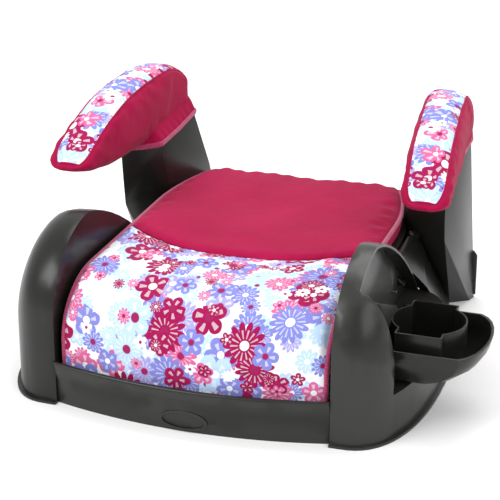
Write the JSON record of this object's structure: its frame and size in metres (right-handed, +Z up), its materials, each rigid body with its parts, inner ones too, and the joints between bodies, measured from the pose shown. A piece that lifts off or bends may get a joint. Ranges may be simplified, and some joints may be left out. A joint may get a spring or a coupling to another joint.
{
  "type": "booster seat",
  "caption": "Backless child booster seat: moulded base with front pods, padded floral seat, two padded armrests and a fold-up cup tray on one side.",
  "frame": {"origin": "on the floor under the middle of the seat, on the left-right centre line", "axes": "+X towards the cup tray's side, +Y towards the rear panel, +Z up"},
  "size_m": [0.5215, 0.4556, 0.271],
  "materials": {
    "charcoal_plastic": "satin moulded, fine texture",
    "floral_fabric": "printed woven polyester, flowers on white",
    "magenta_fabric": "plain woven polyester",
    "foam": "open-cell foam",
    "steel": "zinc-plated"
  },
  "bodies": {
    "base": {"seat_deck": "charcoal_plastic", "deck_ribs": "charcoal_plastic", "front_rail": "charcoal_plastic", "rear_panel": "charcoal_plastic", "left_side_skirt": "charcoal_plastic", "right_side_skirt": "charcoal_plastic", "left_pod_shell": "charcoal_plastic", "right_pod_shell": "charcoal_plastic", "recess_liner": "charcoal_plastic", "tray_catch": "charcoal_plastic", "left_arm_post": "charcoal_plastic", "right_arm_post": "charcoal_plastic", "left_arm_beam": "charcoal_plastic", "right_arm_beam": "charcoal_plastic", "left_arm_foam": "foam", "right_arm_foam": "foam", "left_arm_cover": "floral_fabric", "right_arm_cover": "floral_fabric", "left_arm_binding": "magenta_fabric", "right_arm_binding": "magenta_fabric", "seat_foam": "foam", "seat_cover_front": "floral_fabric", "seat_cover_rear": "magenta_fabric", "seat_welt": "magenta_fabric", "rear_screws": "steel", "pod_screws": "steel", "arm_screws": "steel", "cover_hooks": "charcoal_plastic"},
    "cup_tray": {"cup_tray": "charcoal_plastic", "cup_ring": "charcoal_plastic"}
  },
  "joints": [
    {"name": "cup_tray_fold", "type": "hinge", "parent": "base", "child": "cup_tray", "pos_m": [0.1955, -0.0945, 0.0775], "axis": [0, -1, 0], "range_deg": [0, 90]}
  ]
}
